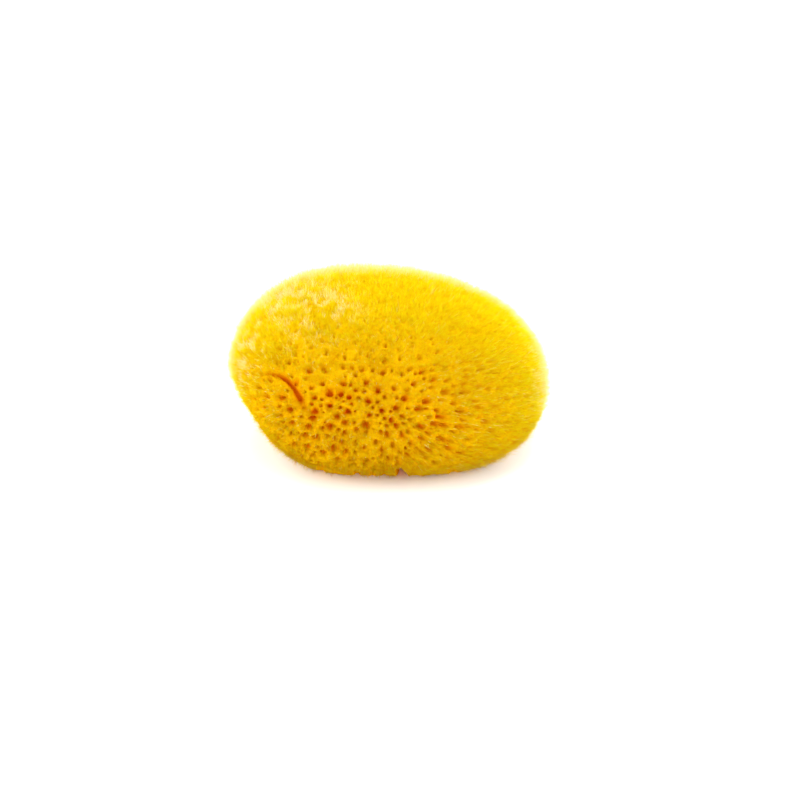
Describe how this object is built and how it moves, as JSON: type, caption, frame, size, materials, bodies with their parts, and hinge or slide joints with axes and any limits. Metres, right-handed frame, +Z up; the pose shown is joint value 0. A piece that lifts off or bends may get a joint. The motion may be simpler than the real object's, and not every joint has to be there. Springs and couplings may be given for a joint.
{
  "type": "sea sponge",
  "caption": "Small rounded natural bath sponge, soft and porous, with a fuzzy fibrous skin and a flat cut base to rest on.",
  "frame": {"origin": "middle of the flat cut base, on the surface that the sponge rests on", "axes": "+X along the sponge's length, with the end that has the fold at -X; -Y towards the open, most porous face; +Z up from the cut base"},
  "size_m": [0.0912, 0.0625, 0.0513],
  "materials": {
    "sponge_fibre": "matte, fuzzy golden-yellow fibre"
  },
  "bodies": {
    "root": {"sponge": "sponge_fibre"}
  },
  "joints": []
}
